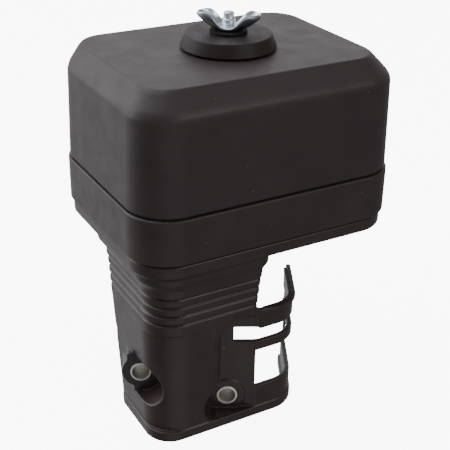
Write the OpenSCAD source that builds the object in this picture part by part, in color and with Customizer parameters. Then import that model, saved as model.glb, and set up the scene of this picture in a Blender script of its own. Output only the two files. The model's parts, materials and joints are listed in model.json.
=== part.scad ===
// Oil-bath air cleaner of a small single-cylinder engine.
// Millimetres, +Z up. The origin is the centre of the outlet hole, on the face that meets the carburettor.

/* [Filter box] */
// Half length of the oil case, along X
box_half_x = 64; // [60:1:68]
// Half depth of the oil case, along Y
box_half_y = 48.6; // [46:0.2:52]
// Radius of the upright corners
box_corner_r = 19; // [14:1:22]
// Height of the cover, from the seam to its flat top
cover_h = 51.6; // [46:0.2:60]
// Height of the oil case
case_h = 21.3; // [18:0.1:24]
// Wall thickness of the cover and the case
wall = 2.4; // [2:0.1:3]

/* [Elbow] */
// Height of the seam above the outlet's centre
seam_z = 94.9; // [90:0.1:100]
// Centre of the filter box from the outlet, along X
box_x = 30; // [26:0.5:34]
// Centre of the filter box from the outlet, along Y
box_y = 15.6; // [14:0.2:17]
// Turn of the mounting face against the filter box, in degrees
mount_turn = 27; // [20:1:32]
// Distance from the seam to the bottom of the elbow
elbow_depth = 113.5; // [110:0.5:118]
// Wall thickness of the elbow
duct_wall = 2.5; // [2:0.1:3]
// Number of grooves round the neck
neck_grooves = 4; // [2:1:5]

/* [Carburettor mounting] */
// Radius of the outlet hole
outlet_r = 12; // [10:0.5:12.5]
// Distance between the two carburettor studs
stud_spacing = 42; // [40:0.5:44]
// Slope of the line through the two studs, in degrees
stud_slope = 19; // [10:1:25]
// Depth of the stud bosses
boss_depth = 17; // [14:0.5:20]
// Outer radius of the steel collars
collar_r = 4.9; // [4.6:0.1:5.2]
// Inner radius of the steel collars
collar_hole_r = 3.7; // [3.2:0.1:4]

/* [Lever guard] */
// Distance from the outlet's centre to the outside of the guard
guard_reach = 50.6; // [48:0.2:54]
// How far the guard runs behind the mounting face
guard_length = 26; // [16:1:30]
// Outer radius of the guard's bend
guard_bend_r = 15; // [10:1:18]
// Wall thickness of the guard
guard_wall = 2.4; // [2:0.1:3]

/* [Centre stud] */
// Radius of the stud's thread
stud_r = 2.95; // [2.9:0.01:2.96]
// Height of the stud's tip above the seam
stud_top = 67.2; // [66:0.2:72]
// Radius of the inlet cap
cap_r = 21.2; // [18:0.2:24]
// Tip to tip span of the wing nut
wing_span = 28; // [24:1:32]

/* [Hidden] */
$fa = 4;
$fs = 0.5;
hull_fn = 32;
cut = 0.5;
fit_gap = 0.05;

// Levels measured from the seam
flange_top = -case_h - 0.8;
flange_bottom = -case_h - 6.8;
floor_top = -case_h + 2;
neck_bottom = -58;
rim_top = -elbow_depth + 5;
shoulder_z = cover_h - 9.2;

// Plan of the neck and the lower duct, measured from the middle of the filter box
duct_left = -58;
duct_front = -45;
neck_right = -7;
neck_back = 7;
duct_corner_r = 14;
neck_right_r = 1.6;
lower_corner_r = 15.5;
step_x = 15.8;
breather_x = -38;
breather_z = -48;
breather_r = 5.5;
breather_bore_r = 4;
breather_h = 11;
breather_pad_h = 0.5;

// Outlet standpipe, measured from the middle of the filter box
pipe_x = -32;
pipe_y = -19;
pipe_r = 15.5;
pipe_top = 33;
inlet_tube_r = 12;
inlet_tube_end = -4;

// Levels of the openings in the lever guard, from the seam
guard_top = -56;
slot_top = -65;
slot_bottom = -72.5;
window_top = -77.5;
window_bottom = -97.5;

screw_r = 2;
screw_boss_r = 4.5;
screw_places = [[-47, 31], [47, 33], [47, -33], [13, -33]];
washer_r = 6;
nut_r = 5.77;
nut_h = 5;
collar_hole_in_boss = collar_r + fit_gap;
boss_r = 8.5;
pocket_r = 10.5;

// ---- frames and shared shapes ----

module at_box() {
    translate([box_x, box_y, seam_z]) children();
}

// X along the mounting face, Y out of it towards the carburettor
module at_carburettor() {
    rotate([0, 0, -mount_turn]) children();
}

// A cylinder along the studs' direction, from y0 to y1
module along_stud(r, y0, y1) {
    translate([0, y0, 0]) rotate([-90, 0, 0]) cylinder(r = r, h = y1 - y0);
}

module at_stud(side) {
    x = side * stud_spacing / 2 * cos(stud_slope);
    z = -side * stud_spacing / 2 * sin(stud_slope);
    at_carburettor() translate([x, 0, z]) children();
}

module rounded_plate(hx, hy, r, z0, z1) {
    translate([0, 0, z0]) linear_extrude(z1 - z0) union() {
        square([2 * hx, 2 * (hy - r)], center = true);
        square([2 * (hx - r), 2 * hy], center = true);
        for (sx = [-1, 1], sy = [-1, 1]) translate([sx * (hx - r), sy * (hy - r)]) circle(r);
    }
}

module rounded_ring(hx, hy, r, w, z0, z1) {
    difference() {
        rounded_plate(hx, hy, r, z0, z1);
        rounded_plate(hx - w, hy - w, r - w, z0 - cut, z1 + cut);
    }
}

// A block between two corners in plan, with rounded upright corners
module duct_block(x0, y0, x1, y1, r, z0, z1) {
    translate([(x0 + x1) / 2, (y0 + y1) / 2, 0]) rounded_plate((x1 - x0) / 2, (y1 - y0) / 2, r, z0, z1);
}

// The same with one radius on the left and a smaller one on the right
module neck_block(inset, z0, z1) {
    duct_block(
        duct_left + inset, duct_front + inset, neck_right - inset, neck_back - inset,
        duct_corner_r - inset, z0, z1
    );
    duct_block(
        duct_left + 2 * duct_corner_r, duct_front + inset, neck_right - inset, neck_back - inset,
        neck_right_r, z0, z1
    );
}

// What lies behind the mounting face, and under the slanted web that joins it to the neck
module behind_face(y0) {
    web_bottom = -74;
    web_back = 14;
    translate([-box_x, -box_y, 0]) at_carburettor() translate([-60, y0, 0]) rotate([90, 0, 90])
        linear_extrude(60 + guard_reach - guard_wall - 1) polygon([
            [0, -elbow_depth - 5],
            [80, -elbow_depth - 5],
            [80, neck_bottom + 0.3],
            [web_back, neck_bottom + 0.3],
            [0, web_bottom]
        ]);
}

module hex_nut(z0) {
    translate([0, 0, z0]) difference() {
        cylinder(r = nut_r, h = nut_h, $fn = 6);
        translate([0, 0, -cut]) cylinder(r = stud_r + fit_gap, h = nut_h + 2 * cut);
    }
}

module washer(r, hole_r, z0, h) {
    translate([0, 0, z0]) difference() {
        cylinder(r = r, h = h);
        translate([0, 0, -cut]) cylinder(r = hole_r, h = h + 2 * cut);
    }
}

// ---- elbow ----

// Outline of the lever guard in the carburettor's frame: along the duct's front, round a bend
// and back beside the carburettor
guard_front = -duct_front - box_y + fit_gap;
guard_cx = guard_reach - guard_bend_r;
guard_cy = (sin(mount_turn) * guard_cx - (guard_front - guard_bend_r)) / cos(mount_turn);
guard_start = 14;

function guard_bend(r) = [
    for (a = [mount_turn - 90 : 7 : 0]) [guard_cx + r * cos(a), guard_cy + r * sin(a)]
];

function guard_line(r) = concat(
    [guard_bend(r)[0] - guard_start * [cos(mount_turn), sin(mount_turn)]],
    guard_bend(r),
    [[guard_cx + r, guard_length]]
);

function reversed(list) = [for (i = [len(list) - 1 : -1 : 0]) list[i]];

module guard_wall_at(z0, z1, extra = 0) {
    at_carburettor() translate([0, 0, seam_z + z0]) linear_extrude(z1 - z0)
        polygon(concat(guard_line(guard_bend_r + extra), reversed(guard_line(guard_bend_r - guard_wall))));
}

module guard_openings() {
    slot_start = 22.5;
    slot_h = slot_top - slot_bottom;
    upright_start = guard_length - 10;
    upright_end = guard_length - 8;
    end_post = 2.5;
    window_start = box_x - 8;
    reach = 60;
    at_carburettor() {
        // slot for the choke lever, along the front and round the bend
        translate([slot_start, -reach / 2, seam_z + slot_bottom])
            cube([reach, reach / 2 + upright_start, slot_h]);
        // its short second half beside the carburettor
        translate([guard_cx, upright_end, seam_z + slot_bottom])
            cube([reach, guard_length - end_post - upright_end, slot_h]);
    }
    // window for the fuel lever
    intersection() {
        translate([window_start, -reach, seam_z + window_bottom])
            cube([reach, 1.5 * reach, window_top - window_bottom]);
        at_carburettor() translate([0, -reach, -reach])
            cube([1.5 * reach, reach + guard_length - end_post, 2 * reach]);
    }
}

// Plate in front of the carburettor's right stud, set back from the duct's front
module slotted_plate() {
    plate_end = 35;
    at_carburettor() translate([step_x - duct_wall, 1 - boss_depth, seam_z - elbow_depth])
        cube([plate_end - step_x + duct_wall, duct_wall, elbow_depth + neck_bottom + 2]);
}

module neck_groove(z) {
    half_h = 0.6;
    depth = 0.8;
    difference() {
        neck_block(-2, z - half_h, z + half_h);
        neck_block(depth, z - 1, z + 1);
    }
}

// Top flange, the thicker block under it and the ribbed neck
module neck() {
    groove_top = -39.5;
    groove_pitch = 4.35;
    block_bottom = -34.3;
    rounded_plate(box_half_x - 1.2, box_half_y - 1.2, box_corner_r - 1, flange_bottom, flange_top);
    duct_block(
        duct_left - 3, duct_front - 1.3, neck_right + 4.7, neck_back + 5,
        duct_corner_r + 1, block_bottom, flange_top - 1
    );
    difference() {
        neck_block(0, neck_bottom, flange_top);
        for (i = [0 : neck_grooves - 1]) neck_groove(groove_top - groove_pitch * i);
    }
}

// The duct below the neck, with the step on its right
module lower_duct(inset, z0, z1) {
    difference() {
        duct_block(
            duct_left + inset, duct_front + inset, 5, neck_back - 0.4 - inset,
            lower_corner_r - inset, z0, z1
        );
        translate([-box_x, -box_y, 0]) at_carburettor()
            translate([step_x - inset, -60, z0 - cut]) cube([60, 120, z1 - z0 + 2 * cut]);
    }
}

module bosses() {
    for (side = [-1, 1]) at_stud(side) along_stud(boss_r, -boss_depth, 1);
}

module mounting_flange() {
    flange_t = 4.6;
    at_carburettor() translate([0, 1, 0]) rotate([90, 0, 0]) linear_extrude(flange_t + 1) union() {
        circle(19);
        rotate(-stud_slope) square([stud_spacing, 2 * boss_r - 1], center = true);
    }
}

// Lip round the bottom, and the floor in front of the mounting face
module bottom_rim() {
    lip = 0.7;
    floor_t = 2.4;
    rim_corner_r = 12.5;
    at_box() duct_block(
        duct_left - lip, duct_front - lip, -8, neck_back, rim_corner_r, -elbow_depth, rim_top
    );
    guard_wall_at(-elbow_depth, rim_top, lip);
    at_carburettor() translate([0, 0, seam_z - elbow_depth]) linear_extrude(floor_t) polygon(concat(
        [[0, 1], [0, -10]],
        guard_line(guard_bend_r - 1),
        [[guard_reach - 2, 1]]
    ));
}

// Air passage, with the bosses and the pockets' walls left standing in it
module air_passage() {
    at_box() neck_block(duct_wall, neck_bottom + duct_wall, flange_top + cut);
    difference() {
        at_box() lower_duct(duct_wall, duct_wall - elbow_depth, neck_bottom + duct_wall + cut);
        at_box() behind_face(-4);
        bosses();
        for (side = [-1, 1]) at_stud(side) along_stud(pocket_r + 2, -60, 2 - boss_depth);
    }
}

module elbow() {
    color("#2b2523") difference() {
        union() {
            difference() {
                union() {
                    at_box() neck();
                    at_box() lower_duct(0, -elbow_depth, neck_bottom + 2);
                    mounting_flange();
                    slotted_plate();
                    guard_wall_at(-elbow_depth, guard_top);
                    bottom_rim();
                    bosses();
                }
                at_box() behind_face(0);
            }
            // boss round the centre stud
            at_box() translate([0, 0, -34]) cylinder(r = 7, h = 34 + flange_bottom + 1);
            // screw bosses under the flange
            at_box() for (p = screw_places)
                translate([p[0], p[1], flange_bottom - 3]) cylinder(r = screw_boss_r, h = 4);
            // breather spigot on the back of the neck
            at_box() translate([breather_x, neck_back, breather_z]) {
                along_stud(breather_r, -1, breather_h);
                along_stud(breather_r + 2.5, -1, breather_pad_h);
            }
        }
        air_passage();
        at_box() {
            translate([0, 0, -60]) cylinder(r = stud_r + 0.25, h = 60);
            // flat for the lower stud washer
            translate([0, 0, -36]) cylinder(r = washer_r + 0.6, h = 2);
            for (p = screw_places) translate([p[0], p[1], -40]) cylinder(r = screw_r + 0.25, h = 30);
            translate([breather_x, neck_back, breather_z])
                along_stud(breather_bore_r, -4, breather_h + cut);
        }
        // slot and window through the guard and the plate
        guard_openings();
        // room for a spanner in front of each boss, and the collars' holes
        for (side = [-1, 1]) at_stud(side) {
            along_stud(pocket_r, -60, -boss_depth);
            along_stud(collar_hole_in_boss, -60, cut);
        }
        at_carburettor() along_stud(outlet_r, -10, cut);
    }
}

module collar(side) {
    color("#e6e2d2") at_stud(side) difference() {
        along_stud(collar_r, -boss_depth - 0.3, 0);
        along_stud(collar_hole_r, -boss_depth - 1, 1);
    }
}

module collar_left() {
    collar(-1);
}

module collar_right() {
    collar(1);
}

// ---- oil case ----

module case_gasket() {
    color("#15120f") at_box() difference() {
        rounded_plate(box_half_x - 2.2, box_half_y - 2.2, box_corner_r - 2, flange_top, -case_h);
        duct_block(
            duct_left + duct_wall, duct_front + duct_wall, neck_right - duct_wall, neck_back - duct_wall,
            duct_corner_r - duct_wall, flange_top - cut, cut - case_h
        );
        translate([0, 0, -40]) cylinder(r = stud_r + 0.25, h = 30);
        for (p = screw_places) translate([p[0], p[1], -40]) cylinder(r = screw_r + 0.25, h = 30);
    }
}

module oil_case() {
    rim_z = -0.4;
    color("#2b2523") at_box() difference() {
        union() {
            difference() {
                rounded_plate(box_half_x, box_half_y, box_corner_r, -case_h, rim_z);
                rounded_plate(
                    box_half_x - wall, box_half_y - wall, box_corner_r - wall, floor_top, rim_z + cut
                );
            }
            // ledge and upstand that the cover fits over
            rounded_ring(box_half_x - 1, box_half_y - 1, box_corner_r - 1, 4.4, -2.6, rim_z);
            rounded_ring(box_half_x - 3.6, box_half_y - 3.6, box_corner_r - 3.4, 1.8, -2.6, 3);
            translate([pipe_x, pipe_y, -case_h]) cylinder(r = pipe_r + 2, h = case_h + pipe_top);
            translate([0, 0, -case_h]) cylinder(r = 8, h = 7.3);
            for (p = screw_places) translate([p[0], p[1], -case_h]) cylinder(r = screw_boss_r, h = 12);
        }
        translate([pipe_x, pipe_y, -case_h - cut]) cylinder(r = pipe_r, h = case_h + pipe_top + 2 * cut);
        translate([0, 0, -case_h - cut]) cylinder(r = stud_r + 0.25, h = 20);
        for (p = screw_places)
            translate([p[0], p[1], -case_h - cut]) cylinder(r = screw_r + fit_gap, h = 10);
    }
}

module case_screws() {
    head_z = flange_bottom - 3.8;
    color("#8f9399") at_box() for (p = screw_places) translate([p[0], p[1], 0]) difference() {
        union() {
            translate([0, 0, head_z]) cylinder(r = screw_r, h = -case_h + 8 - head_z);
            translate([0, 0, head_z - 2.6]) cylinder(r = 3.8, h = 2.6);
        }
        for (a = [0, 90]) rotate([0, 0, a]) translate([-2.2, -0.5, head_z - 3]) cube([4.4, 1, 1.8]);
    }
}

module screw_washers() {
    color("#9a9ea3") at_box() for (p = screw_places)
        translate([p[0], p[1], 0]) washer(4.4, screw_r + 0.2, flange_bottom - 3.8, 0.8);
}

// ---- centre stud ----

module centre_stud() {
    nib_r = 2.3;
    nib_h = 2.4;
    foot_z = -43;
    color("#aeb4ba") at_box() rotate_extrude() polygon([
        [0, foot_z],
        [stud_r - 0.6, foot_z],
        [stud_r, foot_z + 0.6],
        [stud_r, stud_top - nib_h - 0.6],
        [nib_r, stud_top - nib_h],
        [nib_r, stud_top - 0.4],
        [nib_r - 0.4, stud_top],
        [0, stud_top]
    ]);
}

module lower_stud_nut() {
    color("#9a9ea3") at_box() hex_nut(-35.2 - nut_h);
}

module upper_stud_nut() {
    color("#9a9ea3") at_box() hex_nut(-case_h + 7.3 + 1.5 + 1.2);
}

module stud_washers() {
    color("#9a9ea3") at_box() {
        washer(washer_r, stud_r + 0.25, -35.2, 1.2);
        washer(washer_r, stud_r + 0.25, -case_h + 8.8, 1.2);
    }
}

module stud_seal() {
    color("#1a1a1a") at_box() washer(7, stud_r + 0.05, -case_h + 7.3, 1.5);
}

// ---- filter ----

module cover_seal() {
    edge = 1.3;
    color("#15120f") at_box() rounded_ring(
        box_half_x - edge, box_half_y - edge, box_corner_r - edge, 1.8, -cover_foot, cover_foot
    );
}

module grid_plate(hx, hy, r, z0, z1, tube_hole, pipe_hole) {
    pitch = 11;
    difference() {
        rounded_plate(hx, hy, r, z0, z1);
        difference() {
            for (i = [-5 : 4], j = [-4 : 3])
                translate([(i + 0.5) * pitch, (j + 0.5) * pitch, (z0 + z1) / 2])
                    cube([pitch - 2, pitch - 2, 6], center = true);
            difference() {
                rounded_plate(hx + 5, hy + 5, r, z0 - 1, z1 + 1);
                rounded_plate(hx - 3.5, hy - 3.5, r - 3.5, z0 - 2, z1 + 2);
            }
            translate([0, 0, z0 - 1]) cylinder(r = tube_hole + 2.5, h = z1 - z0 + 2);
            translate([pipe_x, pipe_y, z0 - 1]) cylinder(r = pipe_hole + 2.5, h = z1 - z0 + 2);
        }
        translate([0, 0, z0 - 2]) cylinder(r = tube_hole, h = z1 - z0 + 4);
        translate([pipe_x, pipe_y, z0 - 2]) cylinder(r = pipe_hole, h = z1 - z0 + 4);
    }
}

module lower_grid() {
    color("#d8d4c6") at_box() grid_plate(59.4, 44, 14.5, 3, 4.6, inlet_tube_r + 3.2, pipe_r + 2.6);
}

module filter_element() {
    color("#5d6066") at_box() difference() {
        rounded_plate(58, 42.6, 14, 4.7, 28);
        cylinder(r = inlet_tube_r + 3, h = 40);
        translate([pipe_x, pipe_y, 0]) cylinder(r = pipe_r + 2.8, h = 40);
    }
}

module upper_grid() {
    color("#d8d4c6") at_box() grid_plate(57.2, 41.8, 13.5, 28.2, 29.8, inlet_tube_r + 2.1, pipe_r + 3);
}

// ---- cover ----

// Level of the cover's foot above the seam, and its step in from the case
cover_foot = 0.4;
cover_step = 0.6;

// A thin slice of the cover, under the level z
module cover_slice(setback_x, setback_y, r, z, shift = [0, 0, 0]) {
    translate(shift)
        rounded_plate(box_half_x - setback_x, box_half_y - setback_y, r, z - 0.1, z, $fn = hull_fn);
}

// Near-upright sides, then a shoulder that slopes in to the flat top
module cover_form(inset) {
    side_x = 1.8 + inset;
    side_y = 1.4 + inset;
    top_setback_x = 9.1 + inset * 0.6;
    top_setback_y = 7.6 + inset * 0.6;
    top_shift = [-0.9, 1.7, 0];
    hull() {
        cover_slice(cover_step + inset, cover_step + inset, box_corner_r - inset, cover_foot + 0.1);
        cover_slice(side_x, side_y, box_corner_r - 1 - inset, shoulder_z);
    }
    hull() {
        cover_slice(side_x, side_y, box_corner_r - 1 - inset, shoulder_z);
        cover_slice(top_setback_x, top_setback_y, 14 - inset, cover_h - inset, top_shift);
    }
}

module cover() {
    hub_r = 6;
    hub_h = 5;
    arm_t = 2.4;
    peg_r = 2.5;
    peg_x = 50;
    peg_y = 32;
    peg_foot = 29.9;
    peg_h = cover_h - 2 - peg_foot;
    color("#2a2422") at_box() difference() {
        union() {
            difference() {
                cover_form(0);
                cover_form(wall);
                rounded_plate(
                    box_half_x - cover_step - wall, box_half_y - cover_step - wall, box_corner_r - wall,
                    -1, cover_foot + cut, $fn = hull_fn
                );
            }
            translate([0, 0, inlet_tube_end])
                cylinder(r = inlet_tube_r + 2, h = cover_h - inlet_tube_end - 1);
            // pegs that carry the upper grid
            for (sx = [-1, 1], sy = [-1, 1])
                translate([sx * peg_x, sy * peg_y, peg_foot]) cylinder(r = peg_r, h = peg_h);
        }
        difference() {
            translate([0, 0, inlet_tube_end - cut]) cylinder(r = inlet_tube_r, h = 70);
            // hub and three arms round the stud
            translate([0, 0, cover_h - hub_h]) cylinder(r = hub_r, h = hub_h);
            for (a = [30, 150, 270]) rotate([0, 0, a])
                translate([0, -arm_t / 2, cover_h - hub_h]) cube([inlet_tube_r + 1, arm_t, hub_h]);
        }
        translate([0, 0, cover_h - 8]) cylinder(r = stud_r + 0.3, h = 12);
    }
}

module inlet_cap() {
    cap_bottom = cover_h + 0.8;
    cap_top = cover_h + 6.6;
    cap_h = cap_top - cap_bottom;
    bevel = 2.3;
    color("#2a2422") at_box() difference() {
        union() {
            difference() {
                translate([0, 0, cap_bottom]) cylinder(r1 = cap_r, r2 = cap_r - bevel, h = cap_h);
                translate([0, 0, cap_bottom - cut])
                    cylinder(r = cap_r - bevel - 2.1, h = cap_h + cut - 2.2);
            }
            translate([0, 0, cover_h]) cylinder(r = 6, h = cap_top - cover_h);
            // feet that hold the inlet gap open
            for (a = [0, 120, 240]) rotate([0, 0, a])
                translate([5, -1.2, cover_h]) cube([cap_r - 7, 2.4, cap_top - cover_h - 2]);
        }
        translate([0, 0, cover_h - 1]) cylinder(r = stud_r + 0.3, h = 12);
    }
}

module nut_seal() {
    color("#1a1a1a") at_box() washer(8.2, stud_r + 0.2, cover_h + 6.6, 1.2);
}

// Sheet wings that sweep out and up from a short hub
module wing_nut() {
    base_z = cover_h + 7.8;
    tip_h = 7.5;
    sheet = 1.4;
    wing_w = 9.2;
    reach = wing_span / 2 - 3.6;
    sweep_r = (reach * reach + tip_h * tip_h) / (2 * tip_h);
    color("#cdd3da") at_box() translate([0, 0, base_z]) rotate([0, 0, -39]) difference() {
        union() {
            cylinder(r1 = 5.8, r2 = 5.2, h = 1.6);
            cylinder(r = 4.6, h = 2.4);
            intersection() {
                for (side = [0, 180]) rotate([0, 0, side])
                    translate([3.6, wing_w / 2, sweep_r]) rotate([90, 0, 0]) linear_extrude(wing_w)
                        difference() {
                            circle(sweep_r);
                            circle(sweep_r - sheet);
                            translate([-wing_span, -wing_span]) square([wing_span, 2 * wing_span]);
                            translate([-wing_span, tip_h - sweep_r]) square([2 * wing_span, wing_span]);
                        }
                // pointed ends
                union() {
                    translate([0, 0, -1]) cylinder(r = 7, h = 4);
                    translate([-20, 0, 2.9]) rotate([90, 0, 90]) cylinder(r = 4.72, h = 40);
                }
            }
        }
        translate([0, 0, -1]) cylinder(r = stud_r + fit_gap, h = 14);
    }
}

elbow();
collar_left();
collar_right();
case_gasket();
oil_case();
case_screws();
screw_washers();
centre_stud();
lower_stud_nut();
upper_stud_nut();
stud_washers();
stud_seal();
cover_seal();
lower_grid();
filter_element();
cover();
upper_grid();
inlet_cap();
nut_seal();
wing_nut();
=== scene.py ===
"""Oil-bath air cleaner of a small engine: its visible pieces, materials, light and camera."""
import json
import math

import bmesh
import bpy
import numpy as np
from mathutils import Matrix, Vector


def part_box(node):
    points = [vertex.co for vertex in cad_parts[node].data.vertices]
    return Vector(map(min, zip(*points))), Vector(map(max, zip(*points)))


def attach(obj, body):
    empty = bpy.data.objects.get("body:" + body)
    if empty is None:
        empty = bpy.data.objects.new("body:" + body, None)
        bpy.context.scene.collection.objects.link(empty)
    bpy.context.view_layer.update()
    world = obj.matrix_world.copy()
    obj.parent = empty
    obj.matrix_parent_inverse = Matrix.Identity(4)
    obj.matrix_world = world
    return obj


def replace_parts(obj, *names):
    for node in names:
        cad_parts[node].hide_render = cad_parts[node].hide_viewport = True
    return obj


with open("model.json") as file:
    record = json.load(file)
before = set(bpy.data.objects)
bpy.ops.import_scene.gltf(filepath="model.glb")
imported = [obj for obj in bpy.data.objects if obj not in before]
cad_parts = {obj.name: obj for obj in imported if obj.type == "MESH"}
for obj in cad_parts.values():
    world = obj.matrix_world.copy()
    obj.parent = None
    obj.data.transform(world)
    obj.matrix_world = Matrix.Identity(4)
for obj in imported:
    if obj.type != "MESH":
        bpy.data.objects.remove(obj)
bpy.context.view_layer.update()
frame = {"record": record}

MM = 0.001
MERGE_DISTANCE = 1e-6

# ---- places taken from the frame, in millimetres ----

seal_lo, seal_hi = (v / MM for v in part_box("cover_seal"))
case_lo, case_hi = (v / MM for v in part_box("oil_case"))
cover_lo, cover_hi = (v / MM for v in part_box("cover"))
elbow_lo, elbow_hi = (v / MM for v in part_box("elbow"))
stud_lo, stud_hi = (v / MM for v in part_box("centre_stud"))
cap_lo, cap_hi = (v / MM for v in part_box("inlet_cap"))
wing_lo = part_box("wing_nut")[0] / MM
element_lo, element_hi = (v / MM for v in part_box("filter_element"))

BOX_X = (stud_lo.x + stud_hi.x) / 2
BOX_Y = (stud_lo.y + stud_hi.y) / 2
SEAM = (seal_lo.z + seal_hi.z) / 2
ORIGIN = Vector((BOX_X, BOX_Y, SEAM))

mounts = {m["name"]: m for m in frame["record"]["mounts"]}
stud_axis = mounts["carb_studs"]["axis"]
TURN = math.atan2(stud_axis[0], stud_axis[1])
STUD_PITCH = mounts["carb_studs"]["dims"]["pcd_mm"]
OUTLET_R = mounts["carb_outlet"]["dims"]["r_mm"]
COLLAR_HOLE_R = mounts["carb_studs"]["dims"]["hole_r_mm"]

CASE_HX = (case_hi.x - case_lo.x) / 2
CASE_HY = (case_hi.y - case_lo.y) / 2
CASE_H = SEAM - case_lo.z
COVER_HX = (cover_hi.x - cover_lo.x) / 2
COVER_HY = (cover_hi.y - cover_lo.y) / 2
COVER_H = cover_hi.z - SEAM
ELBOW_DEPTH = SEAM - elbow_lo.z
STUD_TOP = stud_hi.z - SEAM
STUD_FOOT = stud_lo.z - SEAM
STUD_R = (stud_hi.x - stud_lo.x) / 2

WALL = 2.4
CORNER_R = 19
FLANGE_TOP = -CASE_H - 0.8
PIPE = (-32, -19)
PIPE_R = 15.5
PIPE_TOP = 33
TUBE_R = 12
TUBE_END = cover_lo.z - SEAM
STUD_SLOPE = math.radians(19)
BOSS_DEPTH = 17
BOSS_R = 8.5
POCKET_R = 10.5
COLLAR_R = 4.9
ELBOW_STEP = 0.45
SHELL_STEP = 0.6
FOAM_STEP = 0.8
WING_STEP = 0.15


# ---- mesh helpers; they work in millimetres round the middle of the seam ----

def add_object(name, data):
    obj = bpy.data.objects.new(name, data)
    bpy.context.scene.collection.objects.link(obj)
    return obj


def make_object(name, verts, faces):
    """A new object from its points and faces."""
    points = (np.asarray(verts, float) + np.array(ORIGIN)) * MM
    mesh = bpy.data.meshes.new(name)
    mesh.from_pydata([tuple(p) for p in points], [], [tuple(int(i) for i in f) for f in faces])
    mesh.validate()
    mesh.update()
    return smooth(add_object(name, mesh))


def smooth(obj, angle=35):
    """Smooth shading, with sharp edges above an angle."""
    mesh = obj.data
    mesh.polygons.foreach_set("use_smooth", [True] * len(mesh.polygons))
    mesh.set_sharp_from_angle(angle=math.radians(angle))
    return obj


def join(name, meshes, parts, angle=35):
    """One object from several meshes; the parts they came from are removed."""
    bm = bmesh.new()
    for mesh in meshes:
        bm.from_mesh(mesh)
    mesh = bpy.data.meshes.new(name)
    bm.to_mesh(mesh)
    bm.free()
    for part in parts:
        bpy.data.objects.remove(part)
    return smooth(add_object(name, mesh), angle)


def rounded_ring(points, radii, steps):
    """A closed polyline with its corners rounded, from the middle of its last side."""
    points = [np.array(p, float) for p in points]
    middle = (points[0] + points[-1]) / 2
    out = [middle]
    for before, p, after, r in zip([middle] + points, points, points[1:] + [middle], radii):
        a, b = before - p, after - p
        la, lb = np.linalg.norm(a), np.linalg.norm(b)
        cut = min(r, 0.49 * la, 0.49 * lb)
        start, end = p + a / la * cut, p + b / lb * cut
        for k in range(steps + 1):
            t = k / steps
            out.append((1 - t) ** 2 * start + 2 * t * (1 - t) * p + t * t * end)
    return out


def circle(r, z, segments):
    """Points of a circle round Z."""
    angles = [2 * math.pi * s / segments for s in range(segments)]
    return [(r * math.cos(a), r * math.sin(a), z) for a in angles]


def lathe(name, profile, segments=72):
    """A ring-shaped solid of revolution round Z from (radius, height) points."""
    return loft(name, [circle(r, z, segments) for r, z in profile])


def rectangle_ring(hx, hy, r, z, corner=14, side=10):
    """Points of a rounded rectangle, counter-clockwise, always the same number."""
    points = []
    for q, (sx, sy) in enumerate([(1, 1), (-1, 1), (-1, -1), (1, -1)]):
        cx, cy = sx * (hx - r), sy * (hy - r)
        for k in range(corner + 1):
            a = math.pi / 2 * (q + k / corner)
            points.append((cx + r * math.cos(a), cy + r * math.sin(a), z))
        nx, ny = [(-1, 1), (-1, -1), (1, -1), (1, 1)][q]
        x1, y1 = nx * (hx - r), ny * (hy - r)
        a = math.pi / 2 * (q + 1)
        start = points[-1]
        end = (x1 + r * math.cos(a), y1 + r * math.sin(a))
        for k in range(1, side):
            t = k / side
            points.append((start[0] + (end[0] - start[0]) * t, start[1] + (end[1] - start[1]) * t, z))
    return points


def loft(name, rings):
    """A closed skin over rings with the same number of points; the last joins the first. Its faces point outward."""
    n = len(rings[0])
    verts = [p for ring in rings for p in ring]
    faces = []
    for i in range(len(rings)):
        j = (i + 1) % len(rings)
        for s in range(n):
            t = (s + 1) % n
            faces.append((i * n + s, i * n + t, j * n + t, j * n + s))
    obj = make_object(name, verts, faces)
    bm = bmesh.new()
    bm.from_mesh(obj.data)
    bmesh.ops.remove_doubles(bm, verts=bm.verts, dist=MERGE_DISTANCE)
    bmesh.ops.recalc_face_normals(bm, faces=bm.faces)
    bm.to_mesh(obj.data)
    bm.free()
    return smooth(obj)


# ---- solids from distance fields, for moulded shapes with fillets ----

class Grid:
    """Sample points of a box."""

    def __init__(self, low, high, step):
        self.low, self.step = np.array(low, np.float32), step
        axes = [np.arange(a, b + step, step, dtype=np.float32) for a, b in zip(low, high)]
        self.x, self.y, self.z = axes[0][:, None, None], axes[1][None, :, None], axes[2][None, None, :]
        self.shape = tuple(len(a) for a in axes)


def smooth_min(a, b, k):
    h = np.clip(0.5 + 0.5 * (b - a) / k, 0, 1)
    return b + (a - b) * h - k * h * (1 - h)


def smooth_max(a, b, k):
    return -smooth_min(-a, -b, k)


def rectangle_2d(x, y, cx, cy, hx, hy, r):
    qx, qy = np.abs(x - cx) - hx + r, np.abs(y - cy) - hy + r
    return np.hypot(np.maximum(qx, 0), np.maximum(qy, 0)) + np.minimum(np.maximum(qx, qy), 0) - r


def block_2d(x, y, x0, y0, x1, y1, r):
    return rectangle_2d(x, y, (x0 + x1) / 2, (y0 + y1) / 2, (x1 - x0) / 2, (y1 - y0) / 2, r)


def slab(z, z0, z1):
    return np.maximum(z0 - z, z - z1)


def extrude(d2, dz, r):
    """A plan distance and a height distance joined, with its edges rounded by r."""
    a, b = d2 + r, dz + r
    return np.hypot(np.maximum(a, 0), np.maximum(b, 0)) + np.minimum(np.maximum(a, b), 0) - r


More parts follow.
